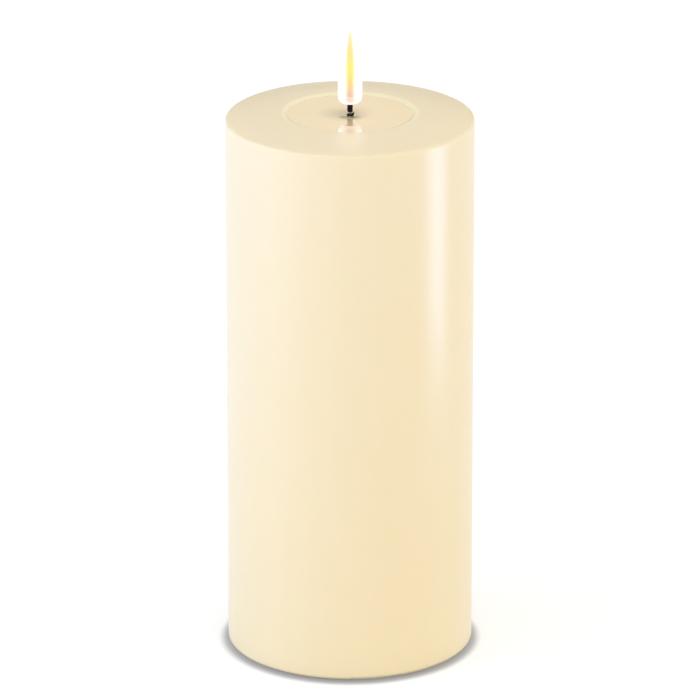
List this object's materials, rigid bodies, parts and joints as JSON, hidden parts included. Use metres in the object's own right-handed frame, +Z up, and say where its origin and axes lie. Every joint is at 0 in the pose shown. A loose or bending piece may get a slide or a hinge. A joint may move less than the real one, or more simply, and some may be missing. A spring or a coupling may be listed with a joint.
{
  "type": "flameless led candle",
  "caption": "Ivory wax pillar candle with a glossy melt pool, a black wick, an LED flame, and a base with a battery door and a slide switch.",
  "frame": {"origin": "on the surface that the candle stands on, on the candle's axis", "axes": "+Z up along the candle's axis, towards the flame; the front faces -Y; the battery door's hinge lies along X on the -Y side of the underside and the slide switch is on the +Y side"},
  "size_m": [0.075, 0.075, 0.1973],
  "materials": {
    "ivory_wax": "smooth satin paraffin wax, slightly translucent",
    "melt_resin": "clear glossy resin over the wax",
    "flame_diffuser": "milky translucent, lit from inside",
    "flame_light_guide": "milky light guide, lit from below",
    "white_plastic": "satin moulded",
    "warm_led": "clear epoxy, glowing warm white",
    "tinned_metal": "tinned, satin",
    "wick_black": "matte, strand-like",
    "red_insulation": "satin PVC",
    "black_insulation": "satin PVC",
    "ivory_plastic": "fine-textured moulded",
    "zinc_steel": "zinc-plated",
    "cell_jacket": "plain printed sleeve, no mark, over a metal can",
    "nickel_steel": "nickel-plated",
    "laminate": "brown phenolic board",
    "black_plastic": "satin moulded",
    "green_board": "green solder mask",
    "capacitor_sleeve": "dark sleeve with a bare top",
    "resistor_ceramic": "black glazed with tinned ends",
    "pad_rubber": "matte",
    "yellow_insulation": "satin PVC",
    "blue_insulation": "satin PVC"
  },
  "bodies": {
    "candle": {"wax_shell": "ivory_wax", "melt_pool": "melt_resin", "flame_shell": "flame_diffuser", "flame_core": "flame_light_guide", "flame_plug": "white_plastic", "led_emitter": "warm_led", "led_legs": "tinned_metal", "wick": "wick_black", "wick_holder": "white_plastic", "joint_sleeve_red": "red_insulation", "joint_sleeve_black": "black_insulation", "flame_lead_red": "red_insulation", "flame_lead_black": "black_insulation", "base_plate": "ivory_plastic", "battery_box": "ivory_plastic", "box_screws": "zinc_steel", "cell_rear": "cell_jacket", "cell_front": "cell_jacket", "bridge_contact": "nickel_steel", "bridge_spring": "nickel_steel", "positive_terminal": "nickel_steel", "negative_terminal": "nickel_steel", "negative_spring": "nickel_steel", "switch_shell": "nickel_steel", "switch_carrier": "laminate", "switch_terminals": "tinned_metal", "switch_screws": "zinc_steel", "control_board": "green_board", "board_screws": "zinc_steel", "lead_header": "white_plastic", "lead_plug": "white_plastic", "control_chip": "black_plastic", "crystal": "tinned_metal", "storage_capacitor": "capacitor_sleeve", "chip_resistors": "resistor_ceramic", "drive_transistor": "black_plastic", "battery_lead_red": "red_insulation", "battery_lead_black": "black_insulation", "foot_pad_1": "pad_rubber", "foot_pad_2": "pad_rubber", "foot_pad_3": "pad_rubber", "foot_pad_4": "pad_rubber", "switch_lead_common": "red_insulation", "switch_lead_on": "yellow_insulation", "switch_lead_timer": "blue_insulation"},
    "door": {"battery_door": "ivory_plastic"},
    "slider": {"switch_actuator": "black_plastic", "switch_wiper": "nickel_steel"}
  },
  "joints": [
    {"name": "door_hinge", "type": "hinge", "parent": "candle", "child": "door", "pos_m": [0, -0.0175, 0.00305], "axis": [-1, 0, 0], "range_deg": [0, 95]},
    {"name": "switch_slide", "type": "slide", "parent": "candle", "child": "slider", "axis": [1, 0, 0], "range_m": [-0.002, 0.002]}
  ]
}
